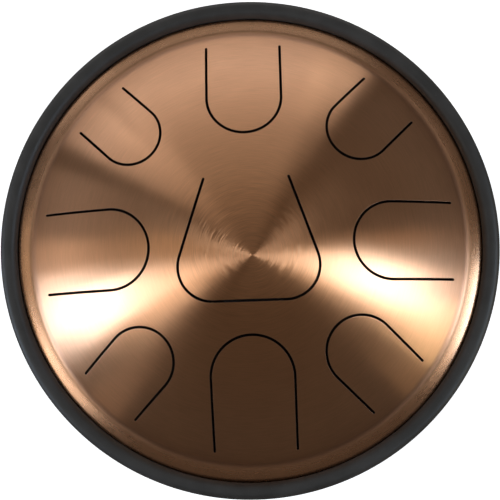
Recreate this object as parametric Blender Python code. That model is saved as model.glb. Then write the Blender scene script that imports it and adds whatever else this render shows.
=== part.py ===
"""Steel tongue drum, 340 mm across, with nine tongues: one in the middle and eight around it.

Two pressed steel domes meet at flat flanges with a thin seal between them, and a rubber ring
covers the joint. The top dome carries the tongues. The bottom dome has a sound port with a
rubber edge trim, and four rubber feet. Lengths are in metres, +Z is up, z = 0 is the floor, and
-Y is the player's side.
"""

import math

import bmesh
import bpy
from mathutils import Matrix, Vector

MM = 0.001

# Overall
EQUATOR_Z = 75 * MM  # height of the joint between the two domes
SEGMENTS = 64  # facets round the drum
GAP = 0.3 * MM  # clearance between neighbouring pieces

# Pressed steel sheet
SHEET = 1.2 * MM
DOME_RADIUS = 205 * MM  # outer radius of the spherical part
DOME_EDGE = 145.5 * MM  # where the sphere runs into the crease
CREASE_RADIUS = 6 * MM
LEDGE_HEIGHT = 9 * MM  # ledge above the equator
CORNER_RADIUS = 3.5 * MM
WALL_RADIUS = 157 * MM  # outside of the short upright wall
FOLD_RADIUS = 2 * MM
FLANGE_TOP = 2.0 * MM  # above the equator
FLANGE_EDGE = 164 * MM

# Tongues: two dimensions apart, the eight outer ones follow one rule
SLOT = 1.5 * MM
ROOT_CIRCLE = 139.2 * MM  # every outer slot ends on this circle
LARGEST_HALF_WIDTH = 28 * MM
HALF_WIDTH_STEP = 1 * MM  # each tongue is this much narrower than the one before
OUTER_TONGUES = (  # place round the drum in degrees, and slot tip from the centre
    (-90, 60.4 * MM),
    (180, 66.0 * MM),
    (0, 70.0 * MM),
    (90, 74.4 * MM),
    (-45, 79.6 * MM),
    (-135, 83.5 * MM),
    (45, 86.5 * MM),
    (135, 88.5 * MM),
)
CENTER_CORNER = (24 * MM, -15 * MM)  # centre of the rounded corner
CENTER_CORNER_RADIUS = 23 * MM
CENTER_LEAN = math.radians(19)
CENTER_ROOT = 43.4 * MM

# Sound port and its trim
PORT_RADIUS = 40 * MM
TRIM_LIP = 4.5 * MM  # how far the trim covers the sheet
TRIM_BULGE = 3.0 * MM  # how far it stands in from the edge
TRIM_HALF = 2.4 * MM

# Rubber ring round the rim, and the seal between the flanges
RING_INNER = 157.4 * MM
RING_OUTER = 170 * MM
RING_STRAIGHT = 5.5 * MM
RING_TOP = 11.8 * MM
SEAL_HALF = 0.5 * MM
SEAL_EDGES = (157.6 * MM, 163.7 * MM)

# Feet
FOOT_PLACE = 62 * MM
FOOT_TOP_RADIUS = 13 * MM
FOOT_BOTTOM_RADIUS = 11 * MM
FOOT_ROUND = 1.5 * MM


def start_clean():
    for obj in list(bpy.data.objects):
        bpy.data.objects.remove(obj, do_unlink=True)


def material(name, color, roughness, metallic):
    made = bpy.data.materials.new(name)
    made.use_nodes = True
    shader = made.node_tree.nodes["Principled BSDF"]
    shader.inputs["Base Color"].default_value = (*color, 1)
    shader.inputs["Roughness"].default_value = roughness
    shader.inputs["Metallic"].default_value = metallic
    made.diffuse_color = (*color, 1)
    return made


def add_object(name, mesh, look, location=(0, 0, 0)):
    obj = bpy.data.objects.new(name, mesh)
    obj.location = location
    bpy.context.scene.collection.objects.link(obj)
    if look:
        mesh.materials.append(look)
    return obj


def helper(obj):
    """Marks a cutter: it shapes other pieces and is not part of the drum."""
    obj.hide_render = True
    obj.display_type = "WIRE"
    return obj


def mesh_from(bm, name):
    bmesh.ops.remove_doubles(bm, verts=bm.verts, dist=1e-6)
    bmesh.ops.recalc_face_normals(bm, faces=bm.faces)
    mesh = bpy.data.meshes.new(name)
    bm.to_mesh(mesh)
    bm.free()
    return mesh


def smooth(mesh):
    mesh.shade_smooth()
    mesh.set_sharp_from_angle(angle=math.radians(30))


def revolve(name, section, segments=SEGMENTS):
    """Spins a closed (radius, height) section round Z."""
    bm = bmesh.new()
    points = [bm.verts.new((r, 0, z)) for r, z in section]
    edges = [bm.edges.new((a, b)) for a, b in zip(points, points[1:] + points[:1])]
    edges = [e for e in edges if max(abs(v.co.x) for v in e.verts) > 1e-9]
    bmesh.ops.spin(
        bm, geom=points + edges, cent=(0, 0, 0), axis=(0, 0, 1),
        angle=2 * math.pi, steps=segments, use_merge=True, use_duplicate=False,
    )
    loose = [e for e in bm.edges if not e.link_faces]
    bmesh.ops.delete(bm, geom=loose, context="EDGES")
    mesh = mesh_from(bm, name)
    smooth(mesh)
    return mesh


def prism(name, outline, low, high):
    """A closed upright block over a plan outline."""
    bm = bmesh.new()
    face = bm.faces.new([bm.verts.new((x, y, low)) for x, y in outline])
    top = bmesh.ops.extrude_face_region(bm, geom=[face])["geom"]
    raised = [v for v in top if isinstance(v, bmesh.types.BMVert)]
    bmesh.ops.translate(bm, verts=raised, vec=(0, 0, high - low))
    return mesh_from(bm, name)


def boolean(obj, operation, other):
    cut = obj.modifiers.new(operation.title(), "BOOLEAN")
    cut.operation = operation
    cut.solver = "EXACT"
    cut.object = other
    return cut


def finish_boolean(obj):
    """Makes the evaluated shape the object's own mesh, so that its cut edges can be crisp."""
    bpy.context.view_layer.update()
    graph = bpy.context.evaluated_depsgraph_get()
    mesh = bpy.data.meshes.new_from_object(obj.evaluated_get(graph))
    obj.modifiers.clear()
    obj.data = mesh
    smooth(mesh)


def arc(center, radius, start, end, steps):
    """(point, outward unit vector) pairs along an arc, angles in degrees."""
    found = []
    for i in range(steps + 1):
        a = math.radians(start + (end - start) * i / steps)
        way = (math.cos(a), math.sin(a))
        found.append(((center[0] + radius * way[0], center[1] + radius * way[1]), way))
    return found


def sheet_outside(start_radius):
    """The outer side of the pressed sheet above the equator, from start_radius to the flange's
    edge: (radius, height) points with the sheet's normal at each."""
    slope = math.degrees(math.asin(DOME_EDGE / DOME_RADIUS))
    first = math.degrees(math.asin(start_radius / DOME_RADIUS))
    drop = CREASE_RADIUS * (1 - math.cos(math.radians(slope)))
    crease_end = DOME_EDGE + CREASE_RADIUS * math.sin(math.radians(slope))
    edge_height = LEDGE_HEIGHT + drop
    dome_center = edge_height - DOME_RADIUS * math.cos(math.radians(slope))
    dome = arc((0, dome_center), DOME_RADIUS, 90 - first, 90 - slope, 9)
    crease = arc((crease_end, LEDGE_HEIGHT + CREASE_RADIUS), CREASE_RADIUS, 270 - slope, 270, 3)
    crease = [(point, (-way[0], -way[1])) for point, way in crease]
    corner_center = (WALL_RADIUS - CORNER_RADIUS, LEDGE_HEIGHT - CORNER_RADIUS)
    corner = arc(corner_center, CORNER_RADIUS, 90, 0, 4)
    fold_center = (WALL_RADIUS + FOLD_RADIUS, FLANGE_TOP + FOLD_RADIUS)
    fold = arc(fold_center, FOLD_RADIUS, 180, 270, 2)
    fold = [(point, (-way[0], -way[1])) for point, way in fold]
    edge = [((FLANGE_EDGE, FLANGE_TOP), (0, 1))]
    return dome + crease[1:] + corner + fold + edge


def dome_top():
    return sheet_outside(0)[0][0][1]


def dome_center():
    return dome_top() - DOME_RADIUS


def dome_height(radius, depth=0.0):
    """Height above the equator of the dome's outer side, or of a layer below it."""
    return dome_center() + math.sqrt((DOME_RADIUS - depth) ** 2 - radius ** 2)


def sheet_section(side, start_radius=0.0):
    """The closed section of a pressed dome: side is 1 for the top one and -1 for the bottom."""
    outside = sheet_outside(start_radius)
    outer = [point for point, _ in outside]
    inner = [(p[0] - SHEET * n[0], p[1] - SHEET * n[1]) for p, n in outside]
    loop = outer + inner[::-1]
    return [(r, EQUATOR_Z + side * z) for r, z in loop]


def u_outline(half_width, tip, root):
    """The plan outline of a tongue that points at the centre, along +X: round nose, square
    root."""
    center = tip + half_width
    nose = arc((center, 0), half_width, 90, 270, 16)
    return [(root, half_width)] + [point for point, _ in nose] + [(root, -half_width)]


def center_outline(offset, root):
    """The plan outline of the middle tongue, with its sides moved out by offset."""
    radius = CENTER_CORNER_RADIUS + offset
    x, y = CENTER_CORNER
    right = arc((x, y), radius, -90, math.degrees(CENTER_LEAN), 10)
    side = [point for point, _ in right]
    along = (root - side[-1][1]) / math.cos(CENTER_LEAN)
    side.append((side[-1][0] - along * math.sin(CENTER_LEAN), root))
    return side + [(-px, py) for px, py in side[::-1]]


def turned(outline, degrees):
    turn = Matrix.Rotation(math.radians(degrees), 2)
    return [tuple(turn @ Vector(point)) for point in outline]


def tongues():
    """Each tongue's name, plan outline, window outline and hinge point."""
    found = []
    root = CENTER_ROOT
    found.append((
        "tongue_center",
        center_outline(-SLOT / 2, root - GAP / 2),
        center_outline(SLOT / 2, root + GAP / 2),
        (0, root),
    ))
    for i, (place, tip) in enumerate(OUTER_TONGUES):
        half = LARGEST_HALF_WIDTH - i * HALF_WIDTH_STEP
        root = math.sqrt(ROOT_CIRCLE ** 2 - half ** 2)
        plan = u_outline(half - SLOT / 2, tip + SLOT / 2, root - GAP / 2)
        window = u_outline(half + SLOT / 2, tip - SLOT / 2, root + GAP / 2)
        hinge = turned([(root, 0)], place)[0]
        found.append((f"tongue_{i + 1}", turned(plan, place), turned(window, place), hinge))
    return found


def join_meshes(name, meshes):
    bm = bmesh.new()
    for mesh in meshes:
        bm.from_mesh(mesh)
    return mesh_from(bm, name)


def make_domes(steel):
    blank = helper(add_object("dome_blank", revolve("dome_blank", sheet_section(1)), None))
    low, high = EQUATOR_Z, EQUATOR_Z + dome_top() + 20 * MM
    plans = tongues()
    windows = [prism(name, window, low, high) for name, _, window, _ in plans]
    cutter = helper(add_object("window_cutter", join_meshes("windows", windows), None))
    top = add_object("top_shell", revolve("top_shell", sheet_section(1)), steel)
    boolean(top, "DIFFERENCE", cutter)
    finish_boolean(top)
    for name, plan, _, hinge in plans:
        height = EQUATOR_Z + dome_height(math.hypot(*hinge), SHEET / 2)
        local = [(x - hinge[0], y - hinge[1]) for x, y in plan]
        block = prism(name, local, low - height, high - height)
        tongue = add_object(name, block, steel, (*hinge, height))
        boolean(tongue, "INTERSECT", blank)
        finish_boolean(tongue)
    for used in (blank, cutter):
        bpy.data.objects.remove(used, do_unlink=True)
    bottom = revolve("bottom_shell", sheet_section(-1, PORT_RADIUS))
    add_object("bottom_shell", bottom, steel)


def ring_section():
    """The ring's section: a bulged band with an inner groove for the flanges."""
    middle = (RING_INNER + RING_OUTER) / 2
    half = (RING_OUTER - RING_INNER) / 2
    rise = RING_TOP - RING_STRAIGHT
    top = []
    for i in range(9):
        a = math.pi * i / 8
        top.append((middle + half * math.cos(a), RING_STRAIGHT + rise * math.sin(a)))
    groove_half = FLANGE_TOP + GAP
    groove = [
        (RING_INNER, FLANGE_TOP + FOLD_RADIUS + 2 * GAP),
        (WALL_RADIUS + FOLD_RADIUS + GAP, groove_half),
        (FLANGE_EDGE + GAP, groove_half),
    ]
    upper = top + groove
    lower = [(r, -z) for r, z in upper[::-1]]
    return [(r, EQUATOR_Z + z) for r, z in upper + lower]


def make_rim(rubber, seal):
    add_object("rim_ring", revolve("rim_ring", ring_section()), rubber)
    inner, outer = SEAL_EDGES
    low, high = EQUATOR_Z - SEAL_HALF, EQUATOR_Z + SEAL_HALF
    section = [(inner, low), (outer, low), (outer, high), (inner, high)]
    add_object("rim_seal", revolve("rim_seal", section), seal)


def trim_section():
    """A U-shaped rubber trim over the port's edge, leaning with the sheet."""
    middle = DOME_RADIUS - SHEET / 2
    slope = math.asin(PORT_RADIUS / middle)
    edge = (PORT_RADIUS, EQUATOR_Z - dome_height(PORT_RADIUS, SHEET / 2))
    along = (math.cos(slope), math.sin(slope))
    across = (-math.sin(slope), math.cos(slope))
    mouth = SHEET / 2 + GAP
    bulge = [
        (-TRIM_BULGE * math.sin(math.pi * i / 8), TRIM_HALF * math.cos(math.pi * i / 8))
        for i in range(9)
    ]
    lips = [(TRIM_LIP, -TRIM_HALF * 0.8), (TRIM_LIP, -mouth), (-GAP, -mouth)]
    lips += [(-GAP, mouth), (TRIM_LIP, mouth), (TRIM_LIP, TRIM_HALF * 0.8)]
    return [
        (edge[0] + s * along[0] + t * across[0], edge[1] + s * along[1] + t * across[1])
        for s, t in bulge + lips
    ]


def make_port_trim(rubber):
    add_object("port_trim", revolve("port_trim", trim_section(), 48), rubber)


def foot_section():
    """A tapered foot with a rounded lower edge, tall enough to reach into the dome."""
    rounding = arc((FOOT_BOTTOM_RADIUS - FOOT_ROUND, FOOT_ROUND), FOOT_ROUND, -90, 0, 4)
    return [(0, 0)] + [p for p, _ in rounding] + [(FOOT_TOP_RADIUS, 24 * MM), (0, 24 * MM)]


def make_feet(rubber):
    outside = [p for p, _ in sheet_outside(0) if p[0] < DOME_EDGE + 1e-6]
    clear = [(r * (1 + GAP / DOME_RADIUS), EQUATOR_Z - z - GAP) for r, z in outside]
    section = clear + [(0, clear[-1][1])]
    cutter = helper(add_object("foot_cutter", revolve("foot_cutter", section), None))
    for i in range(4):
        place = math.radians(45 + 90 * i)
        spot = (FOOT_PLACE * math.cos(place), FOOT_PLACE * math.sin(place), 0)
        foot = revolve(f"foot_{i + 1}", foot_section(), 24)
        foot = add_object(f"foot_{i + 1}", foot, rubber, spot)
        boolean(foot, "DIFFERENCE", cutter)
        finish_boolean(foot)
    bpy.data.objects.remove(cutter, do_unlink=True)


def main():
    start_clean()
    steel = material("copper_toned_steel", (0.62, 0.33, 0.17), 0.28, 1.0)
    rubber = material("black_rubber", (0.030, 0.029, 0.029), 0.75, 0.0)
    seal = material("dark_seal", (0.045, 0.045, 0.047), 0.85, 0.0)
    make_domes(steel)
    make_rim(rubber, seal)
    make_port_trim(rubber)
    make_feet(rubber)


main()
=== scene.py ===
"""Looks of the steel tongue drum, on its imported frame. Metres, +Z up, -Y is the player's side."""

import math

import bmesh
import bpy
import numpy as np
from mathutils import Matrix, Quaternion, Vector
from mathutils.geometry import delaunay_2d_cdt


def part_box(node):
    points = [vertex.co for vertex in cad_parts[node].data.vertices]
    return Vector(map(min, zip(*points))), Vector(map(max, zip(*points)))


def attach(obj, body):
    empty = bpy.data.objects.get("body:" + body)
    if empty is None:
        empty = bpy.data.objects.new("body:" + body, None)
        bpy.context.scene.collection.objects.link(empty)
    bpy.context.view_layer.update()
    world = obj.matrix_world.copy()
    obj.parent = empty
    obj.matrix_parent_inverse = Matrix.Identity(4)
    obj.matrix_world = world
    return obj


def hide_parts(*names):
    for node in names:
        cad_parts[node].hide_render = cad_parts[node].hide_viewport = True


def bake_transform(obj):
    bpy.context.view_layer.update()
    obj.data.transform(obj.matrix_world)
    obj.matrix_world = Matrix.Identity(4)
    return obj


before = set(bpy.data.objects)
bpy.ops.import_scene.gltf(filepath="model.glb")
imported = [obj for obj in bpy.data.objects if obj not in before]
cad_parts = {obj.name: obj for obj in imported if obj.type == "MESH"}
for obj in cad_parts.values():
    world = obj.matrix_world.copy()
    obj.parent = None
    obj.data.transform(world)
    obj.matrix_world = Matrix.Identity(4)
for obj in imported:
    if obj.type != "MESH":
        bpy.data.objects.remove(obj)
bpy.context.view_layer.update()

MM = 0.001
EQUATOR = (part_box("rim_ring")[0].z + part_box("rim_ring")[1].z) / 2  # between the two shells
SHEET = 1.2 * MM
GAP = 0.3 * MM  # clearance between neighbouring pieces

# Pressed domes, with heights above the equator
DOME = 205 * MM  # outer radius of the spherical part
DOME_CENTER = -133.63 * MM  # height of the top dome's centre
DOME_EDGE = 147.42 * MM  # where the sphere runs into the crease
DOME_SLOPE = math.asin(DOME_EDGE / DOME)
CREASE = 3.5 * MM  # radius of the hollow bend outside the dome
LEDGE_SLOPES = (math.radians(3), math.radians(17))  # at the ledge's inner and outer side
CORNER = 3 * MM  # radius of the bend from the ledge to the wall
WALL = 158 * MM  # outside of the short upright wall
FOLD = 1 * MM  # radius of the bend from the wall to the flange
FLANGE_TOP = 2 * MM
FLANGE_EDGE = 164 * MM
PORT = 40 * MM  # radius of the sound port
DIMPLE, DIMPLE_WIDTH = 0.28 * MM, 11 * MM  # the dip at the very middle
RIPPLE = 0.020 * MM  # faint unevenness of the sheet
RIPPLE_EDGE, RIPPLE_FADE = 140.65 * MM, 20 * MM  # it fades out on the way to the rim

# Slots and tongues
SLOT = 1.6 * MM
EDGE_BREAK = 0.20 * MM  # width of the eased edge beside each slot
EDGE_DROP = 0.20 * MM  # how far it drops on the way
EDGE_TILT = 0.4  # how far its shading leans into the slot
ROOT_CIRCLE = 139.2 * MM  # every outer slot ends on this circle
LARGEST_HALF_WIDTH = 28 * MM
HALF_WIDTH_STEP = 1 * MM  # each outer tongue is this much narrower than the one before
OUTER = (  # place round the drum in degrees, and the slot's tip from the centre
    (-90, 60.4 * MM), (180, 66.0 * MM), (0, 70.0 * MM), (90, 74.4 * MM),
    (-45, 79.6 * MM), (-135, 83.5 * MM), (45, 86.5 * MM), (135, 88.5 * MM),
)
CENTER_CORNER = (24 * MM, -15 * MM)  # centre of the middle tongue's rounded corner
CENTER_RADIUS = 23 * MM
CENTER_LEAN = math.radians(19)  # its sides draw together towards the root by this much each
CENTER_ROOT = 43.4 * MM  # where its root line lies along Y
TONGUES = ["tongue_center"] + [f"tongue_{i + 1}" for i in range(len(OUTER))]

# Fineness of the meshes
TURN = 256  # facets round the drum
JOIN = 145 * MM  # where the slotted middle of the top dome meets its turned rim
GRID = 3.6 * MM  # spacing of the points on the slotted middle
GRID_CLEAR = 0.55 * GRID  # how far the points stay from the slots
NOSE_STEPS, CORNER_STEPS, END_STEPS = 40, 26, 8  # along the bends of a slot
WELD_STEPS = 2e6  # per metre: points that round to the same steps are one


# ---------------------------------------------------------------- the sheet's shape


def skin(x, y, depth=0.0):
    """Height of the top dome's outer side, or of the layer at that depth, above the floor."""
    r2 = x * x + y * y
    base = EQUATOR + DOME_CENTER + np.sqrt((DOME - depth) ** 2 - r2)
    dimple = DIMPLE * np.exp(-r2 / DIMPLE_WIDTH ** 2)
    waves = np.sin(x * 95 + 1.3) * np.sin(y * 83 + 0.4)
    waves += 0.6 * np.sin(x * 173 - y * 61 + 2.2) + 0.5 * np.sin(y * 211 + x * 97)
    fade = np.clip((RIPPLE_EDGE - np.sqrt(r2)) / RIPPLE_FADE, 0, 1)
    return base - dimple + RIPPLE * waves * fade


def skin_normal(x, y, depth=0.0):
    step = 0.05 * MM
    dx = (skin(x + step, y, depth) - skin(x - step, y, depth)) / (2 * step)
    dy = (skin(x, y + step, depth) - skin(x, y - step, depth)) / (2 * step)
    n = np.stack([-dx, -dy, np.ones_like(dx)], -1)
    return n / np.linalg.norm(n, axis=-1, keepdims=True)


def skin_depth(points):
    """How far each point lies below the dome's outer skin, the same above and below the equator."""
    x, y, z = np.array(points).T
    radius = np.hypot(x, y)
    reach = np.hypot(radius, np.abs(z - EQUATOR) - DOME_CENTER)
    return DOME - reach - DIMPLE * np.exp(-(radius / DIMPLE_WIDTH) ** 2)


def arc(center, radius, start, end, steps):
    """Points along an arc and the unit vectors out from its centre, angles in radians."""
    a = np.linspace(start, end, steps + 1)
    way = np.stack([np.cos(a), np.sin(a)], 1)
    return np.array(center) + radius * way, way


def rim_profile(depth):
    """The rim from JOIN outwards, at that depth in the sheet: (radius, height above the equator)
    points and normals."""
    points, normals = [], []

    def out(radius, slope):
        """From a bend's centre to the place on it where the sheet has that slope."""
        return radius * np.array([math.sin(slope), math.cos(slope)])

    def bend(center, radius, start, end, steps):
        """An arc between two slopes. A negative radius makes it hollow."""
        slope = np.linspace(start, end, steps + 1)
        way = np.stack([np.sin(slope), np.cos(slope)], 1)
        points.append(center + radius * way)
        normals.append(way)

    dome = np.array([0, DOME_CENTER])
    bend(dome, DOME - depth, math.asin(JOIN / (DOME - depth)), DOME_SLOPE, 3)

    inner, outer = LEDGE_SLOPES
    crease = dome + out(DOME + CREASE, DOME_SLOPE)
    bend(crease, -CREASE - depth, DOME_SLOPE, inner, 10)

    low = crease - out(CREASE, inner)
    width = WALL - CORNER * (1 - math.sin(outer)) - low[0]
    radius = width / (math.sin(outer) - math.sin(inner))
    ledge = low - out(radius, inner)
    bend(ledge, radius - depth, inner, outer, 14)

    corner = ledge + out(radius - CORNER, outer)
    bend(corner, CORNER - depth, outer, math.pi / 2, 6)

    fold, way = arc((WALL + FOLD, FLANGE_TOP + FOLD), FOLD + depth, math.pi, 1.5 * math.pi, 6)
    points += [fold, [[FLANGE_EDGE, FLANGE_TOP - depth]]]
    normals += [-way, [[0.0, 1.0]]]
    return np.concatenate(points), np.concatenate(normals)


# ---------------------------------------------------------------- mesh building


class SheetMesh:
    """Collects faces with a normal at each corner, and welds points that coincide."""

    def __init__(self):
        self.points, self.index, self.faces, self.normals = [], {}, [], []

    def vertex(self, p):
        key = tuple(int(round(c * WELD_STEPS)) for c in p)
        if key not in self.index:
            self.index[key] = len(self.points)
            self.points.append(tuple(float(c) for c in p))
        return self.index[key]

    def face(self, corners, normals):
        ids = [self.vertex(p) for p in corners]
        keep = [i for i, v in enumerate(ids) if v != ids[i - 1]]
        if len(keep) >= 3:
            self.faces.append([ids[i] for i in keep])
            self.normals += [tuple(float(c) for c in normals[i]) for i in keep]

    def build(self, name):
        mesh = bpy.data.meshes.new(name)
        mesh.from_pydata(self.points, [], self.faces)
        mesh.shade_smooth()
        mesh.normals_split_custom_set(self.normals)
        depth = mesh.attributes.new("skin_depth", "FLOAT", "POINT")
        depth.data.foreach_set("value", skin_depth(self.points).astype(np.float32))
        return add_object(name, mesh)


def add_object(name, data):
    obj = bpy.data.objects.new(name, data)
    bpy.context.scene.collection.objects.link(obj)
    return obj


def turn_strip(target, points, normals, side=1):
    """Sweeps a (radius, height) strip round Z. side -1 mirrors it below the equator."""
    a = np.arange(TURN) * 2 * math.pi / TURN
    c, s = np.cos(a), np.sin(a)
    rings = [np.stack([r * c, r * s, np.full(TURN, EQUATOR + side * z)], 1) for r, z in points]
    ways = [np.stack([r * c, r * s, np.full(TURN, side * z)], 1) for r, z in normals]
    for i in range(len(points) - 1):
        for k in range(TURN):
            m = (k + 1) % TURN
            quad = [rings[i][k], rings[i + 1][k], rings[i + 1][m], rings[i][m]]
            turn = [ways[i][k], ways[i + 1][k], ways[i + 1][m], ways[i][m]]
            if side < 0:
                quad, turn = quad[::-1], turn[::-1]
            target.face(quad, turn)


def add_rim(target, side=1):
    """The turned rim of a dome: outer side, flange edge and inner side."""
    out, out_n = rim_profile(0)
    inn, inn_n = rim_profile(SHEET)
    turn_strip(target, out, out_n, side)
    turn_strip(target, np.array([out[-1], inn[-1]]), np.array([[1.0, 0], [1.0, 0]]), side)
    turn_strip(target, inn[::-1], -inn_n[::-1], side)


# ---------------------------------------------------------------- slots


def turned(points, degrees):
    a = math.radians(degrees)
    m = np.array([[math.cos(a), -math.sin(a)], [math.sin(a), math.cos(a)]])
    return points @ m.T


def run(start, end, step=3 * MM):
    """Points along a straight line, both ends included."""
    n = max(1, int(round(np.linalg.norm(np.subtract(end, start)) / step)))
    return np.linspace(start, end, n + 1)


def outer_line(number):
    """The middle line of an outer tongue's slot with its outward normals, from root to root."""
    place, tip = OUTER[number]
    half = LARGEST_HALF_WIDTH - number * HALF_WIDTH_STEP
    root, mid = math.sqrt(ROOT_CIRCLE ** 2 - half ** 2), tip + half
    nose, nose_n = arc((mid, 0), half, math.pi / 2, 1.5 * math.pi, NOSE_STEPS)
    leg = run((root, half), (mid, half))[:-1]
    back = run((mid, -half), (root, -half))[1:]
    up, down = np.tile([0.0, 1.0], (len(leg), 1)), np.tile([0.0, -1.0], (len(back), 1))
    points = np.concatenate([leg, nose, back])
    normals = np.concatenate([up, nose_n, down])
    return turned(points, place), turned(normals, place)


def center_line():
    """The same for the middle tongue: rounded corners towards the player, open at the far side."""
    x, y = CENTER_CORNER
    corner, corner_n = arc((x, y), CENTER_RADIUS, -math.pi / 2, CENTER_LEAN, CORNER_STEPS)
    way = np.array([-math.sin(CENTER_LEAN), math.cos(CENTER_LEAN)])
    top = corner[-1] + (CENTER_ROOT - corner[-1][1]) / math.cos(CENTER_LEAN) * way
    base = run((0, y - CENTER_RADIUS), corner[0])[:-1]
    leg = run(corner[-1], top)[1:]
    half = np.concatenate([base, corner, leg])
    half_n = np.concatenate([
        np.tile([0.0, -1.0], (len(base), 1)), corner_n, np.tile(corner_n[-1], (len(leg), 1))])
    mirror = np.array([-1.0, 1.0])
    return (np.concatenate([half[:0:-1] * mirror, half]),
            np.concatenate([half_n[:0:-1] * mirror, half_n]))


def ribbon(line, half):
    """The closed outline of a slot of that half width with round ends, the vectors from each of
    its points towards the slot's middle line, and the places of the root's two points."""
    points, normals = line
    outer, inner = points + normals * half, (points - normals * half)[::-1]

    def round_end(center, start, tangent):
        a0 = math.atan2(start[1], start[0])
        spin = 1 if start[0] * tangent[1] - start[1] * tangent[0] > 0 else -1
        a = a0 + spin * math.pi * np.arange(1, END_STEPS) / END_STEPS
        way = np.stack([np.cos(a), np.sin(a)], 1)
        return center + way * half, -way

    far, far_way = round_end(points[-1], normals[-1], points[-1] - points[-2])
    near, near_way = round_end(points[0], -normals[0], points[0] - points[1])
    loop = np.concatenate([outer, far, inner, near])
    way = np.concatenate([-normals, far_way, normals[::-1], near_way])
    first_inner = len(outer) + len(far)
    return loop, way, (first_inner, first_inner + len(inner) - 1)


def inside(points, polygon):
    """Which plan points lie in a polygon."""
    x, y = points[:, 0], points[:, 1]
    found = np.zeros(len(points), bool)
    for (x0, y0), (x1, y1) in zip(polygon, np.roll(polygon, -1, axis=0)):
        if y0 == y1:
            continue
        crosses = (y0 > y) != (y1 > y)
        found ^= crosses & (x < (x1 - x0) * (y - y0) / (y1 - y0) + x0)
    return found


def plan_grid(avoid):
    """Polar grid points inside JOIN, away from the outlines."""
    points = [np.zeros((1, 2))]
    rings = int(round(JOIN / GRID))
    for i in range(1, rings):
        r = JOIN * i / rings
        n = min(TURN, max(8, int(round(2 * math.pi * r / GRID / 8)) * 8))
        a = (np.arange(n) + 0.5 * (i % 2)) * 2 * math.pi / n
        points.append(np.stack([r * np.cos(a), r * np.sin(a)], 1))
    points = np.concatenate(points)
    near = np.full(len(points), np.inf)
    batch = 400  # keeps the table of distances small
    for i in range(0, len(avoid), batch):
        d = np.linalg.norm(points[:, None] - avoid[None, i:i + batch], axis=2).min(1)
        near = np.minimum(near, d)
    return points[near > GRID_CLEAR]


def slotted_plan():
    """Triangles of the top dome's middle in plan, split between the shell and the tongues."""
    a = np.arange(TURN) * 2 * math.pi / TURN
    rim = np.stack([JOIN * np.cos(a), JOIN * np.sin(a)], 1)
    points, edges, ways = [rim], [(i, (i + 1) % TURN) for i in range(TURN)], {}
    count, slots, tongues, avoid = TURN, [], {}, [rim]
    lines = [center_line()] + [outer_line(i) for i in range(len(OUTER))]
    for name, line in zip(TONGUES, lines):
        # the slot's cut edge and the line where the skin starts to drop towards it
        cut, cut_way, (r0, r1) = ribbon(line, SLOT / 2)
        eased = ribbon(line, SLOT / 2 + EDGE_BREAK)[0]
        n = len(cut)
        for k, loop in enumerate((cut, eased)):
            edges += [(count + k * n + i, count + k * n + (i + 1) % n) for i in range(n)]
            points.append(loop)
        ways.update({count + i: cut_way[i] for i in range(n)})
        # the root line, which divides the tongue from the shell
        root = run(eased[r0], eased[r1])[1:-1]
        points.append(root)
        chain = [count + r0, count + n + r0, *range(count + 2 * n, count + 2 * n + len(root)),
                 count + n + r1, count + r1]
        edges += list(zip(chain, chain[1:]))
        slots.append(cut)
        tongues[name] = cut[r0:r1 + 1]
        avoid += [eased, root]
        count += 2 * n + len(root)
    points.append(plan_grid(np.concatenate(avoid)))
    points = np.concatenate(points)

    # triangles that keep every edge above, and whose they are
    made = delaunay_2d_cdt([Vector(p) for p in points], edges, [], 1, 1e-9, True)
    source = [ids[0] for ids in made[3]]
    triangles = np.array([[source[v] for v in f] for f in made[2]])
    middle = points[triangles].mean(1)
    solid = ~np.any([inside(middle, s) for s in slots], axis=0)
    owner = np.full(len(triangles), "top_shell", object)
    for name, outline in tongues.items():
        owner[inside(middle, outline)] = name
    return points, triangles, solid, owner, ways


def lift(points, triangles, ways):
    """A SheetMesh with the outer side, the inner side and the cut walls of plan triangles."""
    x, y = points[:, 0], points[:, 1]
    top, top_n = skin(x, y), skin_normal(x, y)
    low, low_n = skin(x, y, SHEET), -skin_normal(x, y, SHEET)
    for i, way in ways.items():
        top[i] -= EDGE_DROP
        tilted = top_n[i] + EDGE_TILT * np.array([way[0], way[1], 0])
        top_n[i] = tilted / np.linalg.norm(tilted)
    high = np.stack([x, y, top], 1)
    under = np.stack([x, y, low], 1)
    made, seen = SheetMesh(), {}
    for a, b, c in triangles:
        (ax, ay), (bx, by), (cx, cy) = points[a], points[b], points[c]
        if (bx - ax) * (cy - ay) - (by - ay) * (cx - ax) < 0:
            b, c = c, b
        made.face([high[a], high[b], high[c]], [top_n[a], top_n[b], top_n[c]])
        made.face([under[a], under[c], under[b]], [low_n[a], low_n[c], low_n[b]])
        for e in ((a, b), (b, c), (c, a)):
            seen[e] = True
    for a, b in [e for e in seen if (e[1], e[0]) not in seen]:  # edges of one triangle only
        if a < TURN and b < TURN:
            continue  # the rim carries on from here
        along = points[b] - points[a]
        out = np.array([along[1], -along[0], 0]) / np.linalg.norm(along)
        na = np.array([*ways[a], 0]) if a in ways and b in ways else out
        nb = np.array([*ways[b], 0]) if a in ways and b in ways else out
        made.face([high[b], high[a], under[a], under[b]], [nb, na, na, nb])
    return made


def make_top():
    """The slotted top shell and its nine tongues."""
    points, triangles, solid, owner, ways = slotted_plan()
    made = {}
    for name in ["top_shell"] + TONGUES:
        part = lift(points, triangles[solid & (owner == name)], ways)
        if name == "top_shell":
            add_rim(part)
        made[name] = part.build(name + "_sheet")
    return made


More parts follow.
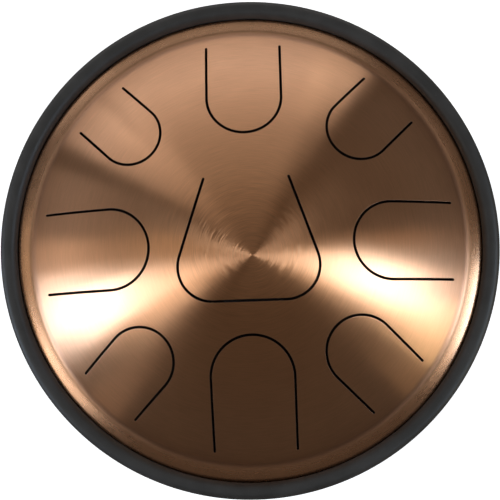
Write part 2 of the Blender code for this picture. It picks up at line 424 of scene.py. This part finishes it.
def make_bottom():
    """The bottom shell: a plain turned dome with the sound port."""
    part = SheetMesh()
    add_rim(part, -1)
    sides = []
    for depth in (0, SHEET):
        start = math.pi / 2 - math.asin(PORT / (DOME - depth))
        end = math.pi / 2 - math.asin(JOIN / (DOME - depth))
        sides.append(arc((0, DOME_CENTER), DOME - depth, start, end, 32))
    (outer, outer_n), (inner, inner_n) = sides
    turn_strip(part, outer, outer_n, -1)
    turn_strip(part, inner[::-1], -inner_n[::-1], -1)
    turn_strip(part, np.array([inner[0], outer[0]]), np.array([[-1.0, 0], [-1.0, 0]]), -1)
    return part.build("bottom_shell_sheet")


# ---------------------------------------------------------------- rubber pieces

RING_INNER, RING_OUTER = 158.4 * MM, 170 * MM
RING_STRAIGHT = 5.5 * MM  # height of the crown's start above the equator
RING_TOP = 11.8 * MM
RING_SQUARE = 1.5  # 1 makes the crown an ellipse, more makes it squarer
RING_SHOULDER = 0.3  # share by which the crown is lower beside the dome
RING_LIP = 0.6 * MM  # how far above the fold its inner side ends

TRIM_HALF = 2.4 * MM  # half its thickness
TRIM_LIP = 4.5 * MM  # how far it covers the sheet
TRIM_BULGE = 3 * MM  # how far it stands in from the port's edge
TRIM_TURN = 128

FOOT_TURN = 48
FOOT_CLEAR = 1.3 * GAP  # height of the gap under the dome
FOOT_ROWS = (  # radius in mm, share of the height up to the dome, and rise in mm
    (10.0, 1, 0), (12.4, 1, 0),  # top, against the dome
    (13.0, 1, 0), (13.0, 0.90, 0), (12.7, 0.84, 0), (12.1, 0.80, 0),  # lip
    (11.9, 0.72, 0), (11.75, 0.5, 0), (11.5, 0.28, 0), (11.3, 0.14, 0),  # side
    (11.0, 0.06, 0), (10.4, 0.02, 0), (9.6, 0, 0),  # rounded lower edge
    (7.6, 0, 0), (7.2, 0, 0.8), (4.6, 0, 0.8), (4.2, 0, 0), (1.6, 0, 0),  # sole with its groove
)


def rubber_object(name, bm, sharp_degrees):
    """Finishes a closed bmesh as an object, smooth apart from its sharp edges."""
    bmesh.ops.recalc_face_normals(bm, faces=bm.faces)
    mesh = bpy.data.meshes.new(name)
    bm.to_mesh(mesh)
    bm.free()
    mesh.shade_smooth()
    mesh.set_sharp_from_angle(angle=math.radians(sharp_degrees))
    return add_object(name, mesh)


def turn_closed(name, section, segments):
    """A solid ring from a closed (radius, height above the floor) section."""
    bm = bmesh.new()
    rings = []
    for k in range(segments):
        a = 2 * math.pi * k / segments
        rings.append([bm.verts.new((r * math.cos(a), r * math.sin(a), z)) for r, z in section])
    for k in range(segments):
        here, there = rings[k], rings[(k + 1) % segments]
        for i in range(len(section)):
            j = (i + 1) % len(section)
            bm.faces.new([here[i], there[i], there[j], here[j]])
    return rubber_object(name, bm, 35)


def make_ring():
    """The rim ring: a bulged rubber band with a groove that takes both flanges."""
    middle, half = (RING_INNER + RING_OUTER) / 2, (RING_OUTER - RING_INNER) / 2
    upper = []
    for a in np.linspace(0, math.pi, 25):
        c, s = math.cos(a), math.sin(a)
        drop = 1 - RING_SHOULDER * max(0, -c) ** 1.5
        upper.append((middle + half * math.copysign(abs(c) ** (1 / RING_SQUARE), c),
                      RING_STRAIGHT + (RING_TOP - RING_STRAIGHT) * drop * s ** (1 / RING_SQUARE)))
    groove = FLANGE_TOP + GAP
    upper += [(RING_INNER, FLANGE_TOP + FOLD + RING_LIP), (WALL + FOLD + GAP, groove),
              (FLANGE_EDGE + GAP, groove)]
    section = upper + [(r, -z) for r, z in upper[::-1]]
    return turn_closed("rim_ring_rubber", [(r, EQUATOR + z) for r, z in section], TURN)


def make_trim():
    """U-shaped rubber edging on the sound port, leaning with the sheet."""
    middle = DOME - SHEET / 2
    slope = math.asin(PORT / middle)
    edge = np.array([PORT, EQUATOR - DOME_CENTER - math.sqrt(middle ** 2 - PORT ** 2)])
    along = np.array([math.cos(slope), math.sin(slope)])
    across = np.array([-math.sin(slope), math.cos(slope)])
    mouth = SHEET / 2 + GAP
    shape = [(-TRIM_BULGE * math.sin(a), TRIM_HALF * math.cos(a))
             for a in np.linspace(0, math.pi, 21)]
    shape += [(TRIM_LIP * 0.8, -TRIM_HALF), (TRIM_LIP, -TRIM_HALF * 0.75), (TRIM_LIP, -mouth),
              (-GAP, -mouth), (-GAP, mouth), (TRIM_LIP, mouth), (TRIM_LIP, TRIM_HALF * 0.75),
              (TRIM_LIP * 0.8, TRIM_HALF)]
    section = [tuple(edge + s * along + t * across) for s, t in shape]
    return turn_closed("port_trim_rubber", section, TRIM_TURN)


def make_foot(number):
    """A moulded rubber foot whose top follows the dome."""
    low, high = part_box(f"foot_{number}")
    cx, cy = (low.x + high.x) / 2, (low.y + high.y) / 2
    bm = bmesh.new()

    def ring(radius, share, rise):
        found = []
        for k in range(FOOT_TURN):
            a = 2 * math.pi * k / FOOT_TURN
            x, y = cx + radius * math.cos(a), cy + radius * math.sin(a)
            top = EQUATOR - DOME_CENTER - math.sqrt(DOME ** 2 - x * x - y * y) - FOOT_CLEAR
            found.append(bm.verts.new((x, y, share * top + rise)))
        return found

    rows = [ring(radius * MM, share, rise * MM) for radius, share, rise in FOOT_ROWS]
    for upper, lower in zip(rows, rows[1:]):
        for k in range(FOOT_TURN):
            m = (k + 1) % FOOT_TURN
            bm.faces.new([upper[k], lower[k], lower[m], upper[m]])
    bm.faces.new(rows[0])
    bm.faces.new(rows[-1][::-1])
    return rubber_object(f"foot_{number}_rubber", bm, 38)


# ---------------------------------------------------------------- materials

COPPER = (0.80, 0.440, 0.268)
COPPER_DEEP = (0.84, 0.462, 0.278)
COPPER_GOLD = (0.80, 0.385, 0.195)  # round the middle
SHEEN_BAND = (0.66, 0.46, 0.38)  # greyer band in the hollow before the crease, a painted sheen for how it reflects there
# painted shade for the dark line in the crease
CREASE_SHADE = (0.34, 0.18, 0.10)
OXIDE_AND_SLOT_SHADE = (0.075, 0.052, 0.042)  # oxidised steel inside and on the slots' cut walls, also painted shade in the slots and on their eased edges
GOLD_REACH = (30 * MM, 125 * MM)  # radii over which the gold fades out
SHEEN_RADIUS = 146.9 * MM
FILLET_RADIUS = 148.3 * MM
CREASE_RADIUS = 149.6 * MM
OXIDE_AND_SHADE_DEPTH = (0.06 * MM, 0.10 * MM)  # below the skin the steel turns dark over these depths: oxide inside and on the cut walls, painted shade on the slots' eased edges
STROKES = ((1500, 70), (3400, 90))  # strokes per metre, across and along
SWIRL = (3 * MM, -9 * MM, 0)  # the brushing's own centre, off the axis near the middle
SWIRL_WIDTH = 39 * MM
NOISE = (0.3, 0.7)  # most values of a noise lie between these

RUBBER_BLACK = (0.031, 0.0275, 0.0255)
RUBBER_GREY = (0.045, 0.045, 0.047)
DUST = (0.22, 0.21, 0.20)


class Nodes:
    """A short way to write shader nodes."""

    def __init__(self, name):
        self.material = bpy.data.materials.new(name)
        self.material.use_nodes = True
        self.tree = self.material.node_tree
        self.shader = self.tree.nodes["Principled BSDF"]

    def add(self, kind, **values):
        node = self.tree.nodes.new("ShaderNode" + kind)
        for key, value in values.items():
            setattr(node, key, value)
        return node

    def link(self, source, target):
        self.tree.links.new(source, target)

    def feed(self, socket, value):
        if isinstance(value, bpy.types.NodeSocket):
            self.link(value, socket)
        else:
            socket.default_value = value

    def math(self, operation, a, b=0.0, c=0.0):
        node = self.add("Math", operation=operation)
        for socket, value in zip(node.inputs, (a, b, c)):
            self.feed(socket, value)
        return node.outputs[0]

    def vector(self, operation, a, b=(0, 0, 0)):
        node = self.add("VectorMath", operation=operation)
        self.feed(node.inputs[0], a)
        self.feed(node.inputs["Scale" if operation == "SCALE" else 1], b)
        return node.outputs["Value" if operation == "LENGTH" else 0]

    def noise(self, coords, scale, detail, rough):
        node = self.add("TexNoise")
        self.feed(node.inputs["Vector"], coords)
        node.inputs["Scale"].default_value = scale
        node.inputs["Detail"].default_value = detail
        node.inputs["Roughness"].default_value = rough
        return node.outputs["Fac"]

    def fit(self, value, low, high, to_low, to_high, smooth=False):
        node = self.add("MapRange")
        if smooth:
            node.interpolation_type = "SMOOTHSTEP"
        for socket, v in zip(node.inputs, (value, low, high, to_low, to_high)):
            self.feed(socket, v)
        return node.outputs[0]

    def band(self, value, place, core, reach, strength):
        """That strength within core of the place, fading to nothing at reach."""
        away = self.math("ABSOLUTE", self.math("SUBTRACT", value, place))
        return self.fit(away, core, reach, strength, 0, True)

    def bell(self, value, width):
        """1 where the value is nought, falling off like a Gaussian of that width."""
        share = self.math("MULTIPLY", value, 1 / width)
        square = self.math("MULTIPLY", share, share)
        return self.math("POWER", math.e, self.math("MULTIPLY", square, -1))

    def mix(self, share, a, b, blend="MIX"):
        node = self.add("Mix", data_type="RGBA", blend_type=blend)
        self.feed(node.inputs[0], share)
        for socket, v in zip(node.inputs[6:8], (a, b)):
            self.feed(socket, (*v, 1) if isinstance(v, tuple) and len(v) == 3 else v)
        return node.outputs[2]

    def bump(self, height, strength, distance):
        node = self.add("Bump")
        node.inputs["Strength"].default_value = strength
        node.inputs["Distance"].default_value = distance
        self.feed(node.inputs["Height"], height)
        return node.outputs[0]


def brush_strokes(n, where, stroke_radius):
    """Two noises, long along the circle and fine across it."""
    split = n.add("SeparateXYZ")
    n.link(where, split.inputs[0])
    strokes = []
    for across, along in STROKES:
        point = n.add("CombineXYZ")
        n.link(n.math("MULTIPLY", stroke_radius, across), point.inputs[0])
        n.link(n.math("MULTIPLY", split.outputs[0], along), point.inputs[1])
        n.link(n.math("MULTIPLY", split.outputs[1], along), point.inputs[2])
        strokes.append(n.noise(point.outputs[0], 1.0, 1.5, 0.55))
    return strokes


def steel_color(n, where, radius, streak, bare_and_slot_shade):
    """Copper, golden near the middle, streaked along the strokes, greyer before the crease as a
    painted sheen, darker in the crease as painted shade, and dark with oxide and painted shade in
    the slots.
    """
    patch = n.noise(where, 22, 3, 0.55)
    color = n.mix(n.fit(patch, 0.35, 0.65, 0, 1, True), COPPER, COPPER_DEEP)
    color = n.mix(n.fit(radius, *GOLD_REACH, 1, 0), color, COPPER_GOLD)
    darkest = n.fit(radius, 12 * MM, 75 * MM, 0.74, 0.92, True)  # the streaks fade outwards
    color = n.mix(1.0, color, n.fit(streak, *NOISE, darkest, 1.06), "MULTIPLY")
    # painted sheen: a greyer band before the crease, standing in for its lighter reflection
    color = n.mix(n.band(radius, SHEEN_RADIUS, 0.4 * MM, 2.6 * MM, 0.18), color, SHEEN_BAND)
    # painted shade: a darker brown band along the crease
    color = n.mix(n.band(radius, CREASE_RADIUS, 0.1 * MM, 1.2 * MM, 0.28), color, CREASE_SHADE)
    # oxide on the cut walls and inside, with painted shade in the slots and on their eased edges
    return n.mix(bare_and_slot_shade, color, OXIDE_AND_SLOT_SHADE)


def steel_roughness(n, radius, stroke_radius, streak, cloud, bare_and_slot_shade):
    """Glossy, with changes along the strokes and from the middle to the ledge."""
    rough = n.math("MULTIPLY_ADD", streak, 0.05, 0.28)
    for change in (
            n.fit(cloud, *NOISE, -0.012, 0.012),
            n.fit(stroke_radius, 8 * MM, 55 * MM, 0.12, 0, True),  # softer towards the middle
            n.math("MULTIPLY", bare_and_slot_shade, 0.3),
            n.band(radius, FILLET_RADIUS, 0.8 * MM, 2.2 * MM, 0.12),
            n.fit(radius, 149.4 * MM, 150.6 * MM, 0, -0.03, True)):  # smoother on the ledge
        rough = n.math("ADD", rough, change)
    return rough


def copper_steel():
    """Copper-toned steel, brushed in circles round the drum's axis. The inside and the cut walls of
    the slots are uncoated, oxidised steel, and the slots and their eased edges get painted shade."""
    n = Nodes("copper_steel")
    where = n.add("TexCoord").outputs["Object"]
    flat = n.vector("MULTIPLY", where, (1, 1, 0))
    radius = n.vector("LENGTH", flat)
    swirl = n.vector("SCALE", SWIRL, n.bell(radius, SWIRL_WIDTH))
    from_swirl = n.vector("SUBTRACT", flat, swirl)
    stroke_radius = n.vector("LENGTH", from_swirl)
    outward = n.vector("NORMALIZE", from_swirl)
    coarse, fine = brush_strokes(n, where, stroke_radius)
    streak = n.math("MULTIPLY_ADD", coarse, 0.45, n.math("MULTIPLY", fine, 0.55))
    cloud = n.noise(where, 75, 3, 0.6)

    # the mesh keeps each point's depth, so that it stays right when a tongue flexes; the rim's
    # own outer side lies below the dome's sphere, and stays bright
    depth = n.add("Attribute", attribute_name="skin_depth").outputs["Fac"]
    # dark where the sheet lies below the skin: oxide inside and on the cut walls, painted shade on
    # the slots' eased edges
    bare_and_slot_shade = n.fit(depth, *OXIDE_AND_SHADE_DEPTH, 0, 1, True)
    bare_and_slot_shade = n.math("MULTIPLY", bare_and_slot_shade, n.math("LESS_THAN", radius, JOIN))

    n.link(steel_color(n, where, radius, streak, bare_and_slot_shade), n.shader.inputs["Base Color"])
    n.link(steel_roughness(n, radius, stroke_radius, streak, cloud, bare_and_slot_shade),
           n.shader.inputs["Roughness"])
    n.link(n.fit(bare_and_slot_shade, 0, 1, 1, 0.5), n.shader.inputs["Metallic"])
    n.shader.inputs["Anisotropic"].default_value = 0.95

    # light spreads across the strokes, and single strokes stray a little from the circle
    loose = n.fit(stroke_radius, 8 * MM, 62 * MM, 0.30, 0.015, True)
    loose = n.math("MULTIPLY", loose, n.math("LESS_THAN", radius, 149 * MM))
    stray = n.math("MULTIPLY", n.fit(fine, *NOISE, -1, 1), loose)
    along = n.vector("SCALE", n.vector("CROSS_PRODUCT", (0, 0, 1), outward), stray)
    n.link(n.vector("NORMALIZE", n.vector("ADD", outward, along)), n.shader.inputs["Tangent"])

    height = n.math("MULTIPLY_ADD", streak, 1.0, n.math("MULTIPLY", cloud, 0.35))
    height = n.math("MULTIPLY", height, n.fit(radius, 147 * MM, 150 * MM, 1, 0.1, True))
    n.link(n.bump(height, 0.02, 0.2 * MM), n.shader.inputs["Normal"])
    return n.material


def rubber(name, tone, dust):
    """Matte black rubber with a fine moulded grain and a little dust."""
    n = Nodes(name)
    where = n.add("TexCoord").outputs["Object"]
    grain = n.noise(where, 2600, 3, 0.6)
    cloud = n.noise(where, 45, 4, 0.6)
    specks = n.fit(n.noise(where, 900, 1, 0.5), 0.72, 0.80, 0, 1, True)
    worn, pits = tuple(1.5 * c for c in tone), tuple(0.55 * c for c in tone)
    color = n.mix(n.fit(cloud, 0.35, 0.7, 0, 1, True), tone, worn)
    color = n.mix(n.fit(grain, *NOISE, 0, 0.35), color, pits)
    color = n.mix(n.math("MULTIPLY", specks, dust), color, DUST)
    n.link(color, n.shader.inputs["Base Color"])
    n.link(n.fit(cloud, *NOISE, 0.44, 0.60), n.shader.inputs["Roughness"])
    n.shader.inputs["Specular IOR Level"].default_value = 0.5
    height = n.math("MULTIPLY_ADD", cloud, 0.6, grain)
    n.link(n.bump(height, 0.35, 0.12 * MM), n.shader.inputs["Normal"])
    return n.material


def floor_material():
    """Pale floor. A little light of its own keeps it white round the drum. Under the drum it is
    painted dark and its own light fades out, a painted shadow. It is clear from below, so that the
    drum's underside can be looked at."""
    n = Nodes("studio_floor")
    where = n.add("TexCoord").outputs["Object"]
    soft = n.noise(where, 3, 2, 0.5)
    radius = n.vector("LENGTH", n.vector("MULTIPLY", where, (1, 1, 0)))
    pale = n.mix(soft, (0.90, 0.90, 0.90), (0.93, 0.93, 0.925))
    # painted shadow: the floor turns dark under the drum
    shade = n.fit(radius, 80 * MM, 150 * MM, 1, 0, True)
    n.link(n.mix(shade, pale, (0.12, 0.12, 0.12)), n.shader.inputs["Base Color"])
    n.shader.inputs["Roughness"].default_value = 0.9
    n.shader.inputs["Specular IOR Level"].default_value = 0.1
    n.shader.inputs["Emission Color"].default_value = (1, 1, 1, 1)
    # its own light stops under the drum, adding to the painted shadow
    n.link(n.fit(radius, 140 * MM, 168 * MM, 0, FLOOR_GLOW, True),
           n.shader.inputs["Emission Strength"])
    clear = n.add("MixShader")
    n.link(n.add("NewGeometry").outputs["Backfacing"], clear.inputs[0])
    n.link(n.shader.outputs[0], clear.inputs[1])
    n.link(n.add("BsdfTransparent").outputs[0], clear.inputs[2])
    n.link(clear.outputs[0], n.tree.nodes["Material Output"].inputs["Surface"])
    return n.material


# ---------------------------------------------------------------- studio

AIM = Vector((0, 0, EQUATOR))
CAMERA_DISTANCE = 1.8  # from the aim
CAMERA_LEAN = (1.1, -4.1)  # degrees towards +X and +Y in the picture's own axes
CAMERA_ROLL = 1.93  # the drum lies turned this far anticlockwise
VIEW_WIDTH = 0.3418  # what the picture spans at the equator
SENSOR = 36  # mm

FLOOR_HALF = 6
FLOOR_DROP = 0.2 * MM  # below the feet
FLOOR_GLOW = 0.8
WORLD_COLOR, WORLD_STRENGTH = (1.0, 0.85, 0.68, 1), 0.07

LIGHT_DISTANCE = 1.7  # from the aim
WHITE = (1, 1, 1)
# azimuth, elevation and roll in degrees, width and height in metres, radiance, colour
SOFTBOXES = (
    ("left_low", 191, 8, 0, 0.50, 0.40, 7.0, (0.70, 0.84, 1.0)),
    ("left_mid", 196, 25, -5, 0.48, 0.50, 11.5, (0.64, 0.80, 1.0)),
    ("left_top", 201, 42, -8, 0.45, 0.50, 1.00, (1.0, 0.90, 0.70)),
    ("left_high", 204, 60, 0, 0.35, 0.50, 3.4, (0.92, 0.98, 1.0)),
    ("left_upper", 177, 63, 0, 0.40, 0.50, 1.00, (1.0, 0.93, 0.74)),
    ("left_back", 178, 12, 0, 0.35, 0.45, 1.70, (1.0, 0.93, 0.84)),
    ("left_back_wide", 162, 12, 0, 0.60, 0.55, 0.45, WHITE),
    ("left_foot", 222, 8, 0, 0.30, 0.50, 0.34, (1.0, 0.85, 0.70)),
    ("right_low", 337, 8, 0, 0.55, 0.40, 3.0, (1.0, 0.97, 0.68)),
    ("right_mid", 345, 27, 0, 0.55, 0.50, 3.1, (1.0, 0.88, 0.66)),
    ("right_core", 347, 33, 0, 0.34, 0.60, 5.4, (0.48, 0.68, 1.0)),
    ("right", 348, 45, 0, 0.48, 0.45, 7.6, (0.60, 0.80, 1.0)),
    ("right_high", 347, 63, 0, 0.40, 0.40, 2.9, (0.97, 1.0, 0.95)),
    ("right_edge", 3, 30, 0, 0.25, 0.70, 0.36, (1.0, 0.70, 0.40)),
    ("right_foot", 322, 6, 0, 0.30, 0.35, 0.52, (1.0, 0.84, 0.55)),
    ("back", 93, 7.5, 0, 2.50, 0.46, 1.68, WHITE),
    ("back_right", 64, 12, 0, 0.40, 0.45, 0.36, (1.0, 0.94, 0.70)),
    ("back_left", 138, 10, 0, 0.42, 0.42, 1.62, WHITE),
    ("back_mid", 100, 25, 0, 2.20, 0.45, 0.62, WHITE),
    ("back_high", 105, 42, 0, 1.80, 0.45, 0.19, (1.0, 0.94, 0.75)),
    ("back_left_high", 134, 38, 0, 0.45, 0.50, 0.65, (0.94, 0.97, 1.0)),
    ("back_top", 100, 62, 0, 1.20, 0.40, 0.56, (0.94, 1.0, 1.0)),
    ("far_right", 25, 8, 0, 1.60, 0.45, 0.09, WHITE),
)


def add_camera():
    """Almost straight above, leaning a little towards the player's side."""
    roll = math.radians(CAMERA_ROLL)
    right = Vector((math.cos(roll), -math.sin(roll), 0))
    up = Vector((math.sin(roll), math.cos(roll), 0))
    lean_x, lean_y = (math.tan(math.radians(a)) for a in CAMERA_LEAN)
    back = (Vector((0, 0, 1)) + right * lean_x + up * lean_y).normalized()
    side = up.cross(back).normalized()
    turn = Matrix((side, back.cross(side), back)).transposed().to_4x4()
    data = bpy.data.cameras.new("camera")
    data.sensor_width = SENSOR
    data.lens = SENSOR * CAMERA_DISTANCE / VIEW_WIDTH
    data.clip_start, data.clip_end = 0.1, 60
    camera = add_object("camera", data)
    camera.matrix_world = Matrix.Translation(AIM + back * CAMERA_DISTANCE) @ turn
    bpy.context.scene.camera = camera


def softbox(name, azimuth, elevation, roll, width, height, radiance, color):
    """A rectangular light that faces the drum, as bright as its radiance says."""
    data = bpy.data.lights.new("softbox_" + name, "AREA")
    data.shape = "RECTANGLE"
    data.size, data.size_y = width, height
    data.energy = radiance * math.pi * width * height
    data.color = color
    box = add_object("softbox_" + name, data)
    a, e = math.radians(azimuth), math.radians(elevation)
    away = Vector((math.cos(a) * math.cos(e), math.sin(a) * math.cos(e), math.sin(e)))
    box.location = AIM + away * LIGHT_DISTANCE
    box.rotation_mode = "QUATERNION"
    spin = Quaternion((0, 0, 1), math.radians(roll))
    box.rotation_quaternion = away.to_track_quat("Z", "Y") @ spin


def add_studio():
    for spec in SOFTBOXES:
        softbox(*spec)
    world = bpy.data.worlds.new("studio")
    world.use_nodes = True
    background = world.node_tree.nodes["Background"]
    background.inputs[0].default_value = WORLD_COLOR
    background.inputs[1].default_value = WORLD_STRENGTH
    bpy.context.scene.world = world
    mesh = bpy.data.meshes.new("floor")
    s = FLOOR_HALF
    mesh.from_pydata([(-s, -s, 0), (s, -s, 0), (s, s, 0), (-s, s, 0)], [], [(0, 1, 2, 3)])
    mesh.materials.append(floor_material())
    floor = add_object("floor", mesh)
    floor.location.z = -FLOOR_DROP
    floor.visible_glossy = False  # the drum mirrors the dim world below it instead
    bpy.context.scene.view_settings.view_transform = "Standard"


# ---------------------------------------------------------------- putting it together


def place(piece, node, material, slot):
    piece.data.materials.append(material)
    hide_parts(node)
    return piece


def main():
    steel = copper_steel()
    black = rubber("black_rubber", RUBBER_BLACK, 0.25)
    grey = rubber("seal", RUBBER_GREY, 0.1)
    for node, piece in make_top().items():
        place(piece, node, steel, "copper_steel")
        if node == "top_shell":
            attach(piece, "drum_body")
            continue
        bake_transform(piece)
    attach(place(make_bottom(), "bottom_shell", steel, "copper_steel"), "drum_body")
    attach(place(make_ring(), "rim_ring", black, "black_rubber"), "drum_body")
    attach(place(make_trim(), "port_trim", black, "black_rubber"), "drum_body")
    for i in range(1, 5):
        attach(place(make_foot(i), f"foot_{i}", black, "black_rubber"), "drum_body")
    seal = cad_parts["rim_seal"]
    seal.data.materials.clear()
    seal.data.materials.append(grey)
    add_camera()
    add_studio()


main()
